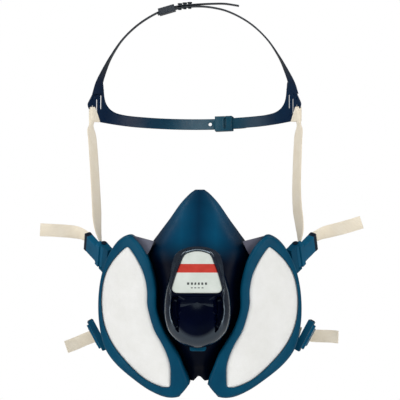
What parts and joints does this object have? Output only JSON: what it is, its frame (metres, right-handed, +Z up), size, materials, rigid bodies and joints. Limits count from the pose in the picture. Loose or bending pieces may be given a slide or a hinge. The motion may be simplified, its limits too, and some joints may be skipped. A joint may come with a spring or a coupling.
{
  "type": "half-mask respirator",
  "caption": "Half-mask respirator: elastomer face-piece with two bonded side filters, a front exhalation valve, a slotted head cradle on elastic straps and a neck strap.",
  "frame": {"origin": "centre of the face opening, on the middle plane, where the seal meets the face", "axes": "+Z up as worn, +Y towards the wearer, -Y out of the front of the mask, +X to the wearer's left"},
  "size_m": [0.2511, 0.2204, 0.3099],
  "materials": {
    "shell_teal": "satin moulded elastomer, dark navy teal",
    "seal_rubber": "soft matt thermoplastic elastomer, dark slate blue",
    "housing_teal": "satin-gloss moulded plastic, dark teal blue",
    "filter_white": "matt white non-woven filter media",
    "carbon": "black granular activated carbon",
    "web_grey": "smoky grey translucent plastic",
    "valve_plastic": "grey moulded plastic",
    "valve_rubber": "thin matt cream silicone",
    "cover_gloss": "glossy moulded plastic, near-black navy",
    "label_white": "printed white panel with one red stripe",
    "buckle_teal": "moulded plastic, teal blue",
    "pin_dark": "moulded plastic, dark navy",
    "webbing": "woven elastic webbing, cream",
    "cradle_blue": "satin flexible moulded plastic, slate blue"
  },
  "bodies": {
    "facepiece": {"facepiece_shell": "shell_teal", "face_seal": "seal_rubber", "exhalation_valve_seat": "valve_plastic", "exhalation_cover": "cover_gloss", "exhaust_louvre": "cover_gloss", "label_panel": "label_white", "left_filter_housing": "housing_teal", "left_filter_bezel": "housing_teal", "left_particulate_filter": "filter_white", "left_carbon_bed": "carbon", "left_side_web": "web_grey", "left_inhalation_valve_seat": "valve_plastic", "left_upper_buckle_pin": "pin_dark", "left_lower_buckle_pin": "pin_dark", "right_filter_housing": "housing_teal", "right_filter_bezel": "housing_teal", "right_particulate_filter": "filter_white", "right_carbon_bed": "carbon", "right_side_web": "web_grey", "right_inhalation_valve_seat": "valve_plastic", "right_upper_buckle_pin": "pin_dark", "right_lower_buckle_pin": "pin_dark"},
    "exhalation_flap": {"exhalation_valve_flap": "valve_rubber"},
    "left_inhalation_flap": {"left_inhalation_valve_flap": "valve_rubber"},
    "right_inhalation_flap": {"right_inhalation_valve_flap": "valve_rubber"},
    "left_upper_lever": {"left_upper_buckle": "buckle_teal", "left_upper_strap_tail": "webbing"},
    "right_upper_lever": {"right_upper_buckle": "buckle_teal", "right_upper_strap_tail": "webbing"},
    "left_lower_lever": {"left_lower_buckle": "buckle_teal", "left_lower_strap_tail": "webbing"},
    "right_lower_lever": {"right_lower_buckle": "buckle_teal", "right_lower_strap_tail": "webbing"},
    "harness": {"left_upper_strap": "webbing", "right_upper_strap": "webbing"},
    "cradle": {"left_cradle_half": "cradle_blue", "right_cradle_half": "cradle_blue", "rear_keeper": "cradle_blue", "rear_peg": "cradle_blue", "crown_keeper": "cradle_blue", "crown_pegs": "cradle_blue", "left_strap_loop": "webbing", "right_strap_loop": "webbing"},
    "neck_strap": {"left_neck_strap": "webbing", "right_neck_strap": "webbing", "neck_clip_eye": "buckle_teal"},
    "neck_hook": {"neck_clip_hook": "buckle_teal"}
  },
  "joints": [
    {"name": "exhalation_flap_hinge", "type": "hinge", "parent": "facepiece", "child": "exhalation_flap", "pos_m": [0, -0.0607, 0.0062], "axis": [-1, 0, 0], "range_deg": [0, 12]},
    {"name": "left_inhalation_flap_lift", "type": "slide", "parent": "facepiece", "child": "left_inhalation_flap", "axis": [-0.454, 0.8823, 0.124], "range_m": [0, 0.0018]},
    {"name": "right_inhalation_flap_lift", "type": "slide", "parent": "facepiece", "child": "right_inhalation_flap", "axis": [0.454, 0.8823, 0.124], "range_m": [0, 0.0018]},
    {"name": "left_upper_buckle_hinge", "type": "hinge", "parent": "facepiece", "child": "left_upper_lever", "pos_m": [0.0746, -0.014, 0.0247], "axis": [0.1172, 0.6242, -0.7724], "range_deg": [-6, 20]},
    {"name": "right_upper_buckle_hinge", "type": "hinge", "parent": "facepiece", "child": "right_upper_lever", "pos_m": [-0.0746, -0.014, 0.0247], "axis": [0.1172, -0.6242, 0.7724], "range_deg": [-6, 20]},
    {"name": "left_lower_buckle_hinge", "type": "hinge", "parent": "facepiece", "child": "left_lower_lever", "pos_m": [0.081, 0.0095, -0.038], "axis": [-0.4711, 0, -0.8821], "range_deg": [-3, 25]},
    {"name": "right_lower_buckle_hinge", "type": "hinge", "parent": "facepiece", "child": "right_lower_lever", "pos_m": [-0.081, 0.0095, -0.038], "axis": [-0.4711, 0, 0.8821], "range_deg": [-3, 25]},
    {"name": "harness_swing", "type": "hinge", "parent": "facepiece", "child": "harness", "pos_m": [0, -0.006, 0.0315], "axis": [1, 0, 0], "range_deg": [-35, 15]},
    {"name": "cradle_tilt", "type": "hinge", "parent": "harness", "child": "cradle", "pos_m": [0, 0.068, 0.13], "axis": [1, 0, 0], "range_deg": [-30, 30]},
    {"name": "neck_strap_swing", "type": "hinge", "parent": "facepiece", "child": "neck_strap", "pos_m": [0, 0.018, -0.0369], "axis": [1, 0, 0], "range_deg": [-30, 15]},
    {"name": "neck_hook_pivot", "type": "hinge", "parent": "neck_strap", "child": "neck_hook", "pos_m": [0.017, 0.138, -0.052], "axis": [0, 0, -1], "range_deg": [0, 60]}
  ]
}
